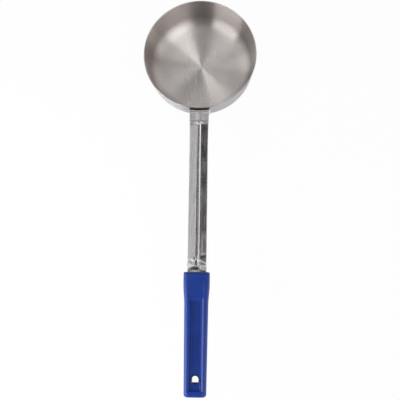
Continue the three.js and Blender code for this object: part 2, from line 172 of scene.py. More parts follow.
class GripSettings(bpy.types.PropertyGroup):
    """Sizes and finish of the moulded grip"""

    length: length("Length", "Length of the grip", 0.1004)
    top: length("Top", "Height above the strip's face", 0.0062)
    underside: length("Underside", "Depth under the strip's face", 0.008)
    width_at_collar: length("Width at collar", "Width of the body at the collar", 0.0205)
    width_at_end: length("Width at end", "Width of the body at the end", 0.0181)
    collar_width: length("Collar width", "Width of the collar", 0.0219)
    collar_underside: length("Collar underside", "Depth of the collar", 0.01)
    collar_length: length("Collar length", "Length of the collar", 0.027)
    collar_crest: length("Collar crest", "Full part of the collar", 0.009)
    front_round: length("Front round", "Radius of the front's top and underside", 0.0025)
    front_corner: length("Front corner", "Radius of the front's corners in plan", 0.001)
    end_round: length("End round", "Radius of the end's top and underside", 0.002)
    end_corner: length("End corner", "Radius of the end's corners in plan", 0.0024)
    shoulder_width: length("Shoulder width", "Width of the rounded shoulders", 0.004)
    shoulder_height: length("Shoulder height", "Height of the rounded shoulders", 0.004)
    belly_width: length("Belly width", "Width of the rounded belly", 0.0065)
    belly_height: length("Belly height", "Height of the rounded belly", 0.005)
    panel_start: length("Panel start", "Where the shallow panel on the collar begins", 0.0074)
    panel_depth: length("Panel depth", "Depth of the shallow panel", 0.00025)
    recess_start: length("Recess start", "Where the ramp of the recess begins", 0.0212)
    recess_ramp: length("Recess ramp", "Run of the ramp", 0.0045)
    recess_width: length("Recess width", "Width of the recess between the rails", 0.012)
    recess_floor: length("Recess floor", "Height of the recess floor", 0.0026)
    wall_run: length("Wall run", "Width of the recess's side walls", 0.0028)
    wall_lean: length("Wall lean", "Width of the walls' leaning upper part", 0.0018)
    wall_fall: length("Wall fall", "Depth of the walls' leaning upper part", 0.0014)
    end_wall_run: length("End wall run", "Run of the recess's end wall", 0.0012)
    rib_start: length("Rib start", "Where the fine ribs behind the front begin", 0.002)
    rib_pitch: length("Rib pitch", "Spacing of the fine ribs", 0.0018)
    rib_height: length("Rib height", "Height of the fine ribs", 0.00018)
    rib_count: IntProperty(name="Rib count", description="Number of fine ribs behind the front",
                           default=3, min=0)
    end_bar: length("End bar", "Length of the bar that closes the recess", 0.0048)
    hole_width: length("Hole width", "Width of the hang hole", 0.0056)
    hole_length: length("Hole length", "Length of the hang hole", 0.0052)
    hole_from_end: length("Hole from end", "Hang hole's middle from the grip's end", 0.0141)
    edge_round: length("Edge round", "How far the rounded recess edges reach over the rails", 0.0006)
    soft_foot: length("Soft foot", "Softness of the foot of the recess walls", 0.0002)
    hole_round: length("Hole round", "Radius of the hang hole's rims", 0.0003)
    plastic: colour("Plastic", "Colour of the blue plastic", (0.0075, 0.039, 0.265))
    # Colour painted on the plastic as shade round the hang hole and along the front.
    painted_shade: colour("Grime", "Colour of the plastic where handling darkens it", (0.007, 0.008, 0.05))


class StudioSettings(bpy.types.PropertyGroup):
    """Camera, table and light"""

    camera_place: point("Camera place", "Where the camera stands", (0.02585, -0.22049, 0.57983))
    camera_turn: FloatVectorProperty(
        name="Camera turn", description="How the camera is turned", size=3,
        default=tuple(math.radians(a) for a in (9.0702, 2.4519, 0.6435)), subtype="EULER", unit="ROTATION")
    lens: FloatProperty(name="Lens", description="Focal length in millimetres", default=57.105, min=1.0)
    table: colour("Table", "Colour of the pale table", (0.86, 0.86, 0.86))
    card_place: point("Card place", "Middle of the dark card round the camera", (-0.03, -0.25, 0.62))
    card_width: length("Card width", "Width of the dark card", 0.26)
    card_length: length("Card length", "Length of the dark card", 0.42)


class LadleSettings(bpy.types.PropertyGroup):
    """All the ladle's settings"""

    bowl: PointerProperty(type=BowlSettings, name="Bowl", description="The drawn bowl")
    shank: PointerProperty(type=ShankSettings, name="Shank", description="The pressed shank")
    grip: PointerProperty(type=GripSettings, name="Grip", description="The moulded grip")
    studio: PointerProperty(type=StudioSettings, name="Studio", description="Camera, table and light")


def mix(a, b, share):
    """A value between two others."""
    return a + (b - a) * share


def ease(value, start, end):
    """A smooth step from 0 at start to 1 at end."""
    share = min(max((value - start) / (end - start), 0.0), 1.0)
    return share * share * (3 - 2 * share)


def even_stops(start, run, steps, beyond=0):
    """Evenly spaced places over a run, and some steps beyond both its ends."""
    return [start + run * i / steps for i in range(-beyond, steps + 1 + beyond)]


def round_inset(radius, from_end):
    """How far an edge draws in at a distance from an end that a radius rounds off."""
    left = max(radius - from_end, 0.0)
    return radius - math.sqrt(max(radius * radius - left * left, 0.0))


def round_stops(radius, steps):
    """Distances from an end that spread the steps of its rounding evenly."""
    return [radius * (1 - math.cos(i / steps * math.pi / 2)) for i in range(steps + 1)]


class HandleLine:
    """The shank's upper face in the plane of symmetry: up the wall, round the bend, out along the strip."""

    def __init__(self, settings):
        bowl, shank = settings.bowl, settings.shank
        self.bowl = bowl
        self.draft = bowl.draft
        self.rise = shank.rise
        self.face_off = shank.seat_gap / math.cos(bowl.draft)
        self.bend = shank.bend_radius + shank.thickness
        self.bend_foot = (bowl.height - shank.below_rim
                          - self.bend * (math.cos(shank.rise) - math.sin(bowl.draft)))
        self.tongue_run = shank.tongue_length / math.cos(bowl.draft)
        self.bend_turn = math.pi / 2 - bowl.draft - shank.rise
        self.bend_run = self.bend * self.bend_turn

    def wall_reach(self, height):
        """Radius of the bowl's outer wall at a height."""
        return self.bowl.rim_radius - (self.bowl.height - height) * math.tan(self.draft)

    def tongue_place(self, below_bend):
        """Reach, height and slope on the tongue, at a distance down from the bend."""
        height = self.bend_foot - below_bend * math.cos(self.draft)
        return self.wall_reach(height) + self.face_off, height, math.pi / 2 - self.draft

    def bend_place(self, share):
        """Reach, height and slope round the bend."""
        reach, height, slope = self.tongue_place(0.0)
        centre_reach = reach + self.bend * math.cos(self.draft)
        centre_height = height - self.bend * math.sin(self.draft)
        slope = mix(slope, self.rise, share)
        return (centre_reach - self.bend * math.sin(slope),
                centre_height + self.bend * math.cos(slope), slope)

    def strip_place(self, along):
        """Reach, height and slope on the strip, at a distance from the bend."""
        reach, height, slope = self.bend_place(1.0)
        return reach + along * math.cos(slope), height + along * math.sin(slope), slope

    def handle_frame(self):
        """Frame whose origin is the strip's start: x across, -y along the handle, z off its face."""
        reach, height, _ = self.strip_place(0.0)
        return Matrix.Translation((0, -reach, height)) @ Matrix.Rotation(-self.rise, 4, "X")


def new_object(name, data):
    """Puts a new object into the scene."""
    made = bpy.data.objects.new(name, data)
    bpy.context.scene.collection.objects.link(made)
    return made


def mesh_object(name, bm, material):
    """Turns a bmesh into an object with a material."""
    mesh = bpy.data.meshes.new(name)
    bm.to_mesh(mesh)
    bm.free()
    mesh.materials.append(material)
    return new_object(name, mesh)


def keep_piece(name, bm, material, node):
    """Turns a bmesh into a piece that stands for a CAD node and rides on its body."""
    for face in bm.faces:
        face.smooth = True
    piece = mesh_object(name, bm, material)
    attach(piece, "root")
    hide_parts(node)
    return piece


def line_to(bm, pen, x, z, support=0.0):
    """Draws a straight edge in the section's plane, with a short supporting row at each end."""
    start = pen.co.copy()
    end = Vector((x, 0, z))
    run = (end - start).normalized() * support
    stops = [start + run, end - run, end] if support else [end]
    for stop in stops:
        pen = bmesh.ops.extrude_vert_indiv(bm, verts=[pen])["verts"][0]
        bmesh.ops.translate(bm, verts=[pen], vec=stop - pen.co)
    return pen


def arc_to(bm, pen, centre_x, centre_z, turn, steps):
    """Draws an arc round a centre in the section's plane."""
    made = bmesh.ops.spin(bm, geom=[pen], cent=(centre_x, 0, centre_z), axis=(0, 1, 0),
                          angle=turn, steps=steps)
    return [item for item in made["geom_last"] if isinstance(item, bmesh.types.BMVert)][0]


def bowl_section(bm, sizes):
    """Draws half of the bowl's section, from the underside's centre round the rim to the floor's centre."""
    across = sizes.wall / math.cos(sizes.draft)
    turn = math.pi / 2 - sizes.draft
    lean = math.tan(sizes.draft)
    outer = sizes.corner
    inner = sizes.corner - sizes.wall
    outer_middle = sizes.rim_radius - sizes.height * lean - outer * math.tan(turn / 2)
    inner_foot = sizes.rim_radius - (sizes.height - sizes.wall) * lean - across
    inner_middle = inner_foot - inner * math.tan(turn / 2)
    lip_height = sizes.height - across / 2
    pen = bm.verts.new((0, 0, 0))
    pen = line_to(bm, pen, outer_middle, 0, sizes.support)
    pen = arc_to(bm, pen, outer_middle, outer, -turn, CORNER_STEPS)
    pen = line_to(bm, pen, sizes.rim_radius, lip_height, sizes.support)
    pen = arc_to(bm, pen, sizes.rim_radius - across / 2, lip_height, -math.pi, LIP_STEPS)
    pen = line_to(bm, pen, inner_middle + inner * math.cos(sizes.draft),
                  sizes.wall + inner * (1 - math.sin(sizes.draft)), sizes.support)
    pen = arc_to(bm, pen, inner_middle, sizes.wall + inner, turn, CORNER_STEPS)
    line_to(bm, pen, 0, sizes.wall, sizes.support)


class LADLE_OT_make_bowl(bpy.types.Operator):
    """Draws the bowl's section and spins it round the axis"""

    bl_idname = "ladle.make_bowl"
    bl_label = "Make bowl"

    def execute(self, context):
        settings = context.scene.ladle
        bm = bmesh.new()
        bowl_section(bm, settings.bowl)
        bmesh.ops.spin(bm, geom=bm.verts[:] + bm.edges[:], cent=(0, 0, 0), axis=(0, 0, 1),
                       angle=math.tau, steps=BOWL_SIDES, use_merge=True)
        bmesh.ops.remove_doubles(bm, verts=bm.verts, dist=SAME_PLACE)
        bmesh.ops.recalc_face_normals(bm, faces=bm.faces)
        keep_piece("turned_bowl", bm, bowl_material(settings), "bowl")
        return {"FINISHED"}


def soft_least(a, b, softness):
    """The lesser of two values, with a rounded change from one to the other."""
    overlap = max(softness - abs(a - b), 0.0) / softness
    return min(a, b) - overlap * overlap * softness / 4


def pressed_depth(x, half_width, risen, sizes):
    """How far the press moves the strip's face at a place across it, for a ridge risen by a share."""
    groove_half = sizes.groove_width / 2
    out = math.hypot(x, sizes.crease) - sizes.crease
    ridge = sizes.roof_drop * (risen - 1)
    side = ridge - sizes.roof_drop * (out - groove_half) / (half_width - groove_half)
    side = -soft_least(-side, sizes.roof_drop, 2 * sizes.crease)
    groove = ridge - sizes.groove_depth * risen * (1 - out / groove_half)
    return soft_least(side, groove, 2 * sizes.crease)


def strip_lift(across, half, along, sizes):
    """How far press and polish move the strip's face, at a place across and along it."""
    flat_again = sizes.strip_length - sizes.flat_at_grip
    form_end = flat_again - sizes.form_at_grip
    risen = min(max((along - sizes.flat_at_bowl) / sizes.form_at_bowl, 0.0), 1.0)
    lift = pressed_depth(across * half, half, risen, sizes)
    lift += sizes.roof_drop * max(1 - along / form_end, 0.0)
    lift *= 1 - ease(along, form_end, flat_again)
    wave = math.sin(math.tau * (along - form_end) / sizes.ripple_pitch)
    wave *= ease(along - form_end, *RIPPLE_RUN)
    wave *= 1 - ease(along, flat_again, sizes.strip_length)
    return lift + sizes.ripple * wave * math.cos(across * math.pi + RIPPLE_SKEW)


def shank_point(across, run, line, sizes):
    """Place of a point of the flat blank after it is cut, pressed, bent and wrapped round the bowl."""
    lift = wrap = 0.0
    if run < line.tongue_run:
        place = line.tongue_place(line.tongue_run - run)
        half = sizes.tongue_width / 2 - round_inset(sizes.tongue_corner, run)
        wrap = 1.0
    elif run < line.tongue_run + line.bend_run:
        share = (run - line.tongue_run) / line.bend_run
        place = line.bend_place(share)
        half = mix(sizes.tongue_width, sizes.width_at_bowl, ease(share, 0, 1)) / 2
        wrap = 1 - ease(share, 0, 1)
    else:
        along = run - line.tongue_run - line.bend_run
        place = line.strip_place(along)
        left = 1 - min(along / sizes.flare_run, 1)
        half = mix(sizes.width_at_grip, sizes.width_at_bowl, left * left) / 2
        lift = strip_lift(across, half, along, sizes)
    reach, height, slope = place
    x = across * half
    lift += wrap * (reach - math.sqrt(reach * reach - x * x))
    return Vector((x, lift * math.sin(slope) - reach, lift * math.cos(slope) + height))


def round_edges(bm, edges, radius):
    """Rounds edges off."""
    bmesh.ops.bevel(bm, geom=edges, offset=radius, segments=ROUND_SEGMENTS, profile=0.5,
                    affect="EDGES", material=-1)


class LADLE_OT_make_shank(bpy.types.Operator):
    """Presses and bends a flat blank into the shank"""

    bl_idname = "ladle.make_shank"
    bl_label = "Make shank"

    def execute(self, context):
        settings = context.scene.ladle
        sizes = settings.shank
        line = HandleLine(settings)
        whole = line.tongue_run + line.bend_run + sizes.strip_length + sizes.into_grip
        bm = bmesh.new()
        bmesh.ops.create_grid(bm, x_segments=BLANK_COLUMNS, y_segments=BLANK_ROWS, size=1.0)
        for vert in bm.verts:
            vert.co = shank_point(vert.co.x, (vert.co.y + 1) / 2 * whole, line, sizes)
        bmesh.ops.recalc_face_normals(bm, faces=bm.faces)
        if sum(face.normal.z for face in bm.faces) < 0:
            bmesh.ops.reverse_faces(bm, faces=bm.faces)
        bmesh.ops.solidify(bm, geom=bm.faces[:], thickness=sizes.thickness)
        bmesh.ops.recalc_face_normals(bm, faces=bm.faces)
        edges = [e for e in bm.edges if e.calc_face_angle(0.0) > SHARP_EDGE]
        round_edges(bm, edges, sizes.edge_round)
        keep_piece("pressed_shank", bm, shank_material(settings), "shank")
        return {"FINISHED"}


class GripForm:
    """Sections of the grip in the handle's frame."""

    SIDE_STEPS = 7
    ROUND_STEPS = 6
    WALL_STEPS = 14
    PANEL_STEPS = 3
    RIB_STEPS = 6
    RAMP_STEPS = 14
    END_WALL_STEPS = 8
    BODY_STEPS = 5

    def __init__(self, sizes, front):
        self.sizes = sizes
        self.front = front
        s = sizes
        hole_middle = s.length - s.hole_from_end
        self.hole_start = hole_middle - s.hole_length / 2
        self.hole_end = hole_middle + s.hole_length / 2
        self.recess_end = s.length - s.end_bar
        self.wall_top = s.recess_width / 2 + s.edge_round
        self.recess_depth = s.top - s.recess_floor

    def rows(self):
        """Distances from the front at which the grip has a section."""
        s = self.sizes
        steps = self.ROUND_STEPS
        arch = [self.hole_start + stop for stop in round_stops(s.hole_width / 2, steps)]
        collar = even_stops(s.collar_crest, s.collar_length - s.collar_crest, steps)
        panel = even_stops(s.panel_start, s.edge_round, self.PANEL_STEPS, beyond=1)
        ribs = even_stops(s.rib_start, s.rib_pitch * s.rib_count, self.RIB_STEPS * max(s.rib_count, 1))
        ramp = even_stops(s.recess_start, s.recess_ramp, self.RAMP_STEPS)
        end_wall = even_stops(self.recess_end + s.edge_round, -s.end_wall_run, self.END_WALL_STEPS, beyond=1)
        body = even_stops(s.collar_length, self.hole_start - s.collar_length, self.BODY_STEPS)[1:-1]
        ends = round_stops(s.end_corner, steps) + round_stops(s.end_round, steps)[1:]
        fronts = round_stops(s.front_corner, steps) + round_stops(s.front_round, steps)[1:]
        places = fronts + ribs + collar + panel + ramp + body + arch + [self.hole_end] + end_wall
        return sorted(set(places + [s.length - end for end in ends]))

    def hole_half(self, place):
        """Half width of the hang hole's column at a distance from the front."""
        half = self.sizes.hole_width / 2
        into = place - self.hole_start
        if -SAME_PLACE <= into < half:
            return math.sqrt(max(half * half - (half - into) ** 2, 0.0))
        return half

    def columns(self):
        """Kinds of column round a section, from the right recess wall over the left side and back."""
        rising = [i / self.SIDE_STEPS for i in range(1, self.SIDE_STEPS + 1)]
        falling = [1 - i / self.SIDE_STEPS for i in range(self.SIDE_STEPS)]
        wall = even_stops(self.wall_top, -self.sizes.wall_run, self.WALL_STEPS)
        right_wall = [("wall", 1, x) for x in wall]
        left_wall = [("wall", -1, x) for x in reversed(wall)]
        left = [("shoulder", -1, share) for share in rising]
        belly_left = [("belly", -1, share) for share in falling]
        belly_right = [("belly", 1, share) for share in rising]
        right = [("shoulder", 1, share) for share in falling]
        return (right_wall + [("hole", 1, 0), ("hole", -1, 0)] + left_wall + left + belly_left
                + [("under", -1, 0), ("under", 1, 0)] + belly_right + right)

    def section(self, place):
        """Half width, underside and the insets of the rounded ends at a distance from the front."""
        s = self.sizes
        collar = 1 - ease(place, s.collar_crest, s.collar_length)
        body = mix(s.width_at_collar, s.width_at_end, place / s.length)
        half = mix(body, s.collar_width, collar) / 2
        under = mix(s.underside, s.collar_underside, collar)
        from_end = s.length - place
        side = round_inset(s.front_corner, place) + round_inset(s.end_corner, from_end)
        face = round_inset(s.front_round, place) + round_inset(s.end_round, from_end)
        return half, under, side, face

    def sunk(self, x, place):
        """How far the panel and the recess sink the top face at a point."""
        s = self.sizes
        ramp = ease(place, s.recess_start, s.recess_start + s.recess_ramp)
        floor = s.panel_depth * ease(place, s.panel_start, s.panel_start + s.edge_round)
        floor += (self.recess_depth - s.panel_depth) * ramp
        into = max(self.wall_top - x, 0.0)
        past_lean = (into - s.wall_lean) / (s.wall_run - s.wall_lean)
        steep = mix(s.wall_fall, self.recess_depth, past_lean)
        wall = -soft_least(-s.wall_fall * into / s.wall_lean, -steep, s.soft_foot)
        end_wall = self.recess_depth * ease(self.recess_end + s.edge_round - place, 0.0, s.end_wall_run)
        ribs = 0.0
        behind = (place - s.rib_start) / s.rib_pitch
        if 0 < behind < s.rib_count:
            ribs = s.rib_height * math.sin(math.pi * behind) ** 2
        return min(soft_least(floor, wall, s.soft_foot), end_wall) - ribs

    def point(self, column, place):
        """Place of one corner of a section."""
        kind, sign, share = column
        s = self.sizes
        half, under, side, face = self.section(place)
        is_top = kind in ("wall", "hole", "shoulder")
        edge = s.top if is_top else under
        wide = (s.shoulder_width if is_top else s.belly_width) * (1 - side / half)
        tall = (s.shoulder_height if is_top else s.belly_height) * (1 - face / edge)
        inner = half - side - wide
        sunk = 0.0
        if kind in ("hole", "under"):
            x = self.hole_half(place)
        elif kind == "wall":
            x = share
        else:
            start = 0.0
            if is_top and self.wall_top > inner:
                start = math.asin(min((self.wall_top - inner) / wide, 1.0))
            x = inner + wide * math.sin(mix(start, math.pi / 2, share))
        if kind in ("wall", "hole"):
            sunk = self.sunk(x, place)
        drop = min(max((x - inner) / wide, 0.0), 1.0)
        z = edge - face - tall * (1 - math.sqrt(1 - drop * drop)) - sunk
        return Vector((sign * x, -self.front - place, z if is_top else -z))


def grip_shell(bm, form):
    """Wraps a flat grid round the grip's sections and closes both ends."""
    columns = form.columns()
    rows = form.rows()
    across = len(columns)
    bmesh.ops.create_grid(bm, x_segments=across, y_segments=len(rows) - 1, size=1.0)
    for vert in bm.verts:
        column = round((vert.co.x + 1) / 2 * across) % across
        row = round((vert.co.y + 1) / 2 * (len(rows) - 1))
        vert.co = form.point(columns[column], rows[row])
    bmesh.ops.remove_doubles(bm, verts=bm.verts, dist=SAME_PLACE)
    bmesh.ops.holes_fill(bm, edges=[e for e in bm.edges if e.is_boundary], sides=0)
    bmesh.ops.recalc_face_normals(bm, faces=bm.faces)


def open_hang_hole(bm, form):
    """Opens the hang hole from the recess floor to the underside and rounds its rims."""
    half = form.sizes.hole_width / 2 + SAME_PLACE
    start = -form.front - form.hole_start + SAME_PLACE
    end = -form.front - form.hole_end - SAME_PLACE

    def inside(face):
        return all(abs(v.co.x) < half and end < v.co.y < start for v in face.verts)

    hole = [f for f in bm.faces if abs(f.normal.z) > LEVEL and inside(f)]
    bmesh.ops.delete(bm, geom=hole, context="FACES")
    rims = [e for e in bm.edges if e.is_boundary]
    bmesh.ops.bridge_loops(bm, edges=rims)
    bmesh.ops.recalc_face_normals(bm, faces=bm.faces)
    round_edges(bm, rims, form.sizes.hole_round)


class LADLE_OT_make_grip(bpy.types.Operator):
    """Models the moulded grip with its recess and hang hole"""

    bl_idname = "ladle.make_grip"
    bl_label = "Make grip"

    def execute(self, context):
        settings = context.scene.ladle
        line = HandleLine(settings)
        form = GripForm(settings.grip, settings.shank.strip_length)
        bm = bmesh.new()
        grip_shell(bm, form)
        open_hang_hole(bm, form)
        bmesh.ops.transform(bm, matrix=line.handle_frame(), verts=bm.verts)
        grip = keep_piece("moulded_grip", bm, grip_material(settings), "grip")
        grip.modifiers.new("even_shading", "WEIGHTED_NORMAL").keep_sharp = True
        return {"FINISHED"}


def feed(tree, made, inputs):
    """Gives a node's inputs their values and links."""
    for key, value in inputs.items():
        if isinstance(value, bpy.types.NodeSocket):
            tree.links.new(value, made.inputs[key])
        else:
            made.inputs[key].default_value = value


def node(tree, kind, inputs=None, **settings):
    """Adds a shader node with its settings, values and links, and returns its outputs."""
    made = tree.nodes.new("ShaderNode" + kind)
    for name, value in settings.items():
        setattr(made, name, value)
    feed(tree, made, inputs or {})
    return made.outputs


def sums(tree, operation, first, second=0.0):
    """Adds a Math node and returns its result."""
    return node(tree, "Math", {0: first, 1: second}, operation=operation)[0]


def plus(tree, value, part, amount):
    """A value with so much of another added to it."""
    return sums(tree, "ADD", value, sums(tree, "MULTIPLY", part, amount))


def vector_sums(tree, operation, first, second=None):
    """Adds a Vector Math node and returns its result."""
    inputs = {0: first} if second is None else {0: first, 1: second}
    results = node(tree, "VectorMath", inputs, operation=operation)
    return results["Value" if operation in ("LENGTH", "DISTANCE", "DOT_PRODUCT") else "Vector"]


def spread(tree, value, low, high, to_low=0.0, to_high=1.0, kind="SMOOTHSTEP"):
    """Maps a value from one range to another."""
    return node(tree, "MapRange", {"Value": value, "From Min": low, "From Max": high,
                                   "To Min": to_low, "To Max": to_high}, interpolation_type=kind)["Result"]


def graded(tree, pattern, low, high):
    """Maps the usual range of a noise to a range of shades or of roughness."""
    return spread(tree, pattern, *NOISE_RANGE, low, high, "LINEAR")


def noise(tree, place, scale, detail, roughness=0.5):
    """Noise at a place in space, or along a line where the place is a single number."""
    on_line = place.type == "VALUE"
    inputs = {"W" if on_line else "Vector": place, "Scale": scale, "Detail": detail, "Roughness": roughness}
    return node(tree, "TexNoise", inputs, noise_dimensions="1D" if on_line else "3D")["Fac"]


def blend(tree, share, first, second, how="MIX"):
    """Mixes two colours."""
    return node(tree, "Mix", {0: share, 6: first, 7: second}, data_type="RGBA", blend_type=how)[2]


def shaded(tree, tone, shade):
    """A colour made darker or lighter by a factor."""
    grey = node(tree, "CombineXYZ", {0: shade, 1: shade, 2: shade})[0]
    return blend(tree, 1.0, tone, grey, "MULTIPLY")


def height_and_reach(tree, place):
    """Height of a place, its horizontal part, and its distance from the bowl's axis."""
    height = node(tree, "SeparateXYZ", {0: place})["Z"]
    flat = vector_sums(tree, "MULTIPLY", place, (1, 1, 0))
    return height, flat, vector_sums(tree, "LENGTH", flat)


def handling_group():
    """Faint smudges and hair scratches that handling leaves on steel."""
    name = "handling_marks"
    if name in bpy.data.node_groups:
        return bpy.data.node_groups[name]
    tree = bpy.data.node_groups.new(name, "ShaderNodeTree")
    tree.interface.new_socket("Vector", in_out="INPUT", socket_type="NodeSocketVector")
    for socket in ("Smudge Scale", "Scratch Scale"):
        tree.interface.new_socket(socket, in_out="INPUT", socket_type="NodeSocketFloat")
    for socket in ("Smudge", "Scratch"):
        tree.interface.new_socket(socket, in_out="OUTPUT", socket_type="NodeSocketFloat")
    given = tree.nodes.new("NodeGroupInput").outputs
    result = tree.nodes.new("NodeGroupOutput").inputs
    smudge = noise(tree, given["Vector"], given["Smudge Scale"], detail=3.0, roughness=0.6)
    tree.links.new(spread(tree, smudge, low=0.35, high=0.7), result["Smudge"])
    turned = node(tree, "Mapping", {"Vector": given["Vector"], "Rotation": (0.3, 0.2, 0.7),
                                    "Scale": (1.0, 0.04, 1.0)})[0]
    hair = noise(tree, turned, given["Scratch Scale"], detail=2.0)
    tree.links.new(spread(tree, hair, low=0.62, high=0.74), result["Scratch"])
    return tree


def handling_marks(tree, place, smudge_scale, scratch_scale):
    """Smudges and scratches at a place, from the shared group."""
    inputs = {"Vector": place, "Smudge Scale": smudge_scale, "Scratch Scale": scratch_scale}
    return node(tree, "Group", inputs, node_tree=handling_group())


def new_material(name):
    """Makes an empty material with a Principled shader."""
    material = bpy.data.materials.new(name)
    material.use_nodes = True
    tree = material.node_tree
    tree.nodes.clear()
    shader = tree.nodes.new("ShaderNodeBsdfPrincipled")
    node(tree, "OutputMaterial", {"Surface": shader.outputs[0]})
    return material, tree, shader, node(tree, "TexCoord")["Object"]


def weld_marks(tree, place, settings):
    """Heat tint and dent of the two round marks that the welding tips leave on tongue and wall."""
    line = HandleLine(settings)
    height = line.bend_foot - settings.shank.weld_below_bend
    reach = line.wall_reach(height)
    half = settings.shank.weld_spacing / 2
    back = -math.sqrt(reach * reach - half * half)
    left, right = (vector_sums(tree, "DISTANCE", place, (side, back, height)) for side in (-half, half))
    near = sums(tree, "MINIMUM", left, right)
    tint, dent = ([share * settings.shank.weld_radius for share in edge] for edge in (TINT_EDGE, DENT_EDGE))
    return spread(tree, near, *tint), spread(tree, near, *dent)


def grooved_normal(tree, track, upright, tangent, steepest):
    """A normal that leans to and fro, as on the sides of grooves too fine to model."""
    near, far = (node(tree, "TexWhiteNoise", {"W": seed}, noise_dimensions="1D")["Value"]
                 for seed in (track, sums(tree, "ADD", track, 1.0)))
    slope = sums(tree, "MULTIPLY", sums(tree, "SUBTRACT", near, far), steepest)
    across = vector_sums(tree, "CROSS_PRODUCT", upright, tangent)
    lean = node(tree, "VectorMath", {0: across, "Scale": slope}, operation="SCALE")[0]
    return vector_sums(tree, "NORMALIZE", vector_sums(tree, "ADD", upright, lean))


def bowl_material(settings):
    """Steel turned in rings on the floor, with a darker colour painted on the drawn wall and the outside as
    shade.
    """
    material, tree, shader, place = new_material("turned_steel")
    sizes = settings.bowl
    height, flat, reach = height_and_reach(tree, place)
    track = sums(tree, "ADD", reach, height)
    fine = noise(tree, track, 1.0 / sizes.ring_pitch, detail=4.0, roughness=0.7)
    broad = noise(tree, track, 0.12 / sizes.ring_pitch, detail=2.0)
    rings = plus(tree, sums(tree, "MULTIPLY", fine, 0.7), broad, amount=0.3)
    marks = handling_marks(tree, place, smudge_scale=45.0, scratch_scale=420.0)
    tint, dent = weld_marks(tree, place, settings)
    upright = node(tree, "NewGeometry")["Normal"]
    on_wall = spread(tree, height, sizes.wall_shade_from, sizes.wall_shade_full)
    outside = spread(tree, vector_sums(tree, "DOT_PRODUCT", upright, flat), low=0.0, high=0.02)
    # Paints the drawn wall and the outside darker than the floor, as shade.
    base = blend(tree, on_wall, (*sizes.steel, 1), (*sizes.shaded_wall_steel, 1))
    base = blend(tree, outside, base, (*sizes.shaded_outer_steel, 1))
    base = shaded(tree, base, graded(tree, rings, low=0.93, high=1.05))
    base = blend(tree, sums(tree, "MULTIPLY", tint, 0.35), base, (*sizes.heat_tint, 1))
    rough = plus(tree, graded(tree, rings, low=0.26, high=0.31), marks["Smudge"], amount=0.03)
    rough = plus(tree, rough, marks["Scratch"], amount=-0.04)
    tangent = node(tree, "Tangent", direction_type="RADIAL", axis="Z")[0]
    grooves = grooved_normal(tree, track, upright, tangent, sizes.groove_slope)
    bump = node(tree, "Bump", {"Strength": 0.25, "Distance": 0.0001, "Height": dent, "Normal": grooves},
                invert=True)[0]
    feed(tree, shader, {"Base Color": base, "Roughness": rough, "Normal": bump, "Tangent": tangent,
                        "Metallic": 1.0, "Anisotropic": 1.0, "Anisotropic Rotation": 0.25})
    return material


def painted_seam_shadow(tree, place, settings):
    """Where a shadow is painted on the strip, in the seam between its bend and the bowl's rim."""
    height, _, reach = height_and_reach(tree, place)
    past_rim = sums(tree, "SUBTRACT", reach, settings.bowl.rim_radius)
    under_rim = sums(tree, "SUBTRACT", settings.bowl.height, height)
    near_rim = spread(tree, past_rim, *SEAM_SHADOW_REACH, to_low=1.0, to_high=0.0)
    return sums(tree, "MULTIPLY", near_rim, spread(tree, under_rim, *SEAM_SHADOW_DROP))


def shank_material(settings):
    """Polished steel strip with streaks along it and a slightly wavy face."""
    material, tree, shader, place = new_material("polished_strip")
    sizes = settings.shank
    stretched = node(tree, "Mapping", {"Vector": place, "Scale": (1.0, 0.03, 0.6)})[0]
    streak = noise(tree, stretched, scale=1500.0, detail=3.0)
    wave = noise(tree, place, scale=260.0, detail=2.0)
    marks = handling_marks(tree, place, smudge_scale=90.0, scratch_scale=600.0)
    tint, dent = weld_marks(tree, place, settings)
    base = shaded(tree, (*sizes.steel, 1), graded(tree, streak, low=0.88, high=1.06))
    base = blend(tree, sums(tree, "MULTIPLY", tint, 0.45), base, (*sizes.heat_tint, 1))
    # Paints the seam's shadow into the strip's colour.
    base = blend(tree, painted_seam_shadow(tree, place, settings), base, (*sizes.seam, 1))
    rough = plus(tree, graded(tree, streak, low=0.14, high=0.24), marks["Smudge"], amount=0.05)
    rough = plus(tree, rough, marks["Scratch"], amount=0.05)
    relief = plus(tree, plus(tree, wave, streak, amount=0.15), dent, amount=-1.2)
    bump = node(tree, "Bump", {"Strength": 0.35, "Distance": 0.0001, "Height": relief})[0]
    feed(tree, shader, {"Base Color": base, "Roughness": rough, "Normal": bump, "Metallic": 1.0})
    return material


def weld_material():
    """Dull fused steel."""
    material, tree, shader, place = new_material("fused_steel")
    marks = handling_marks(tree, place, smudge_scale=700.0, scratch_scale=2500.0)
    base = blend(tree, marks["Smudge"], (0.46, 0.44, 0.42, 1), (0.3, 0.27, 0.24, 1))
    rough = spread(tree, marks["Scratch"], 0, 1, to_low=0.5, to_high=0.38)
    feed(tree, shader, {"Base Color": base, "Roughness": rough, "Metallic": 1.0})
    return material


def grip_painted_shade(tree, place, settings):
    """How much shade is painted on the plastic, round the hang hole and along the front."""
    sizes = settings.grip
    line = HandleLine(settings)
    to_handle = {"Vector": place, "Location": line.handle_frame().translation,
                 "Rotation": (-line.rise, 0, 0)}
    on_handle = node(tree, "Mapping", to_handle, vector_type="TEXTURE")[0]
    parts = node(tree, "SeparateXYZ", {0: on_handle})
    along = sums(tree, "SUBTRACT", sums(tree, "MULTIPLY", parts["Y"], -1.0), settings.shank.strip_length)
    past_hole = sums(tree, "SUBTRACT", along, sizes.length - sizes.hole_from_end)
    aside = sums(tree, "MULTIPLY", parts["X"], 2 / sizes.hole_width)
    beyond = sums(tree, "MULTIPLY", past_hole, 2 / sizes.hole_length)
    off_hole = node(tree, "CombineXYZ", {0: aside, 1: beyond})[0]
    at_hole = spread(tree, vector_sums(tree, "LENGTH", off_hole), low=1.3, high=1.7, to_low=0.9, to_high=0.0)
    at_front = spread(tree, along, low=0.0012, high=0.0034, to_low=0.4, to_high=0.0)
    return sums(tree, "MAXIMUM", at_hole, at_front)


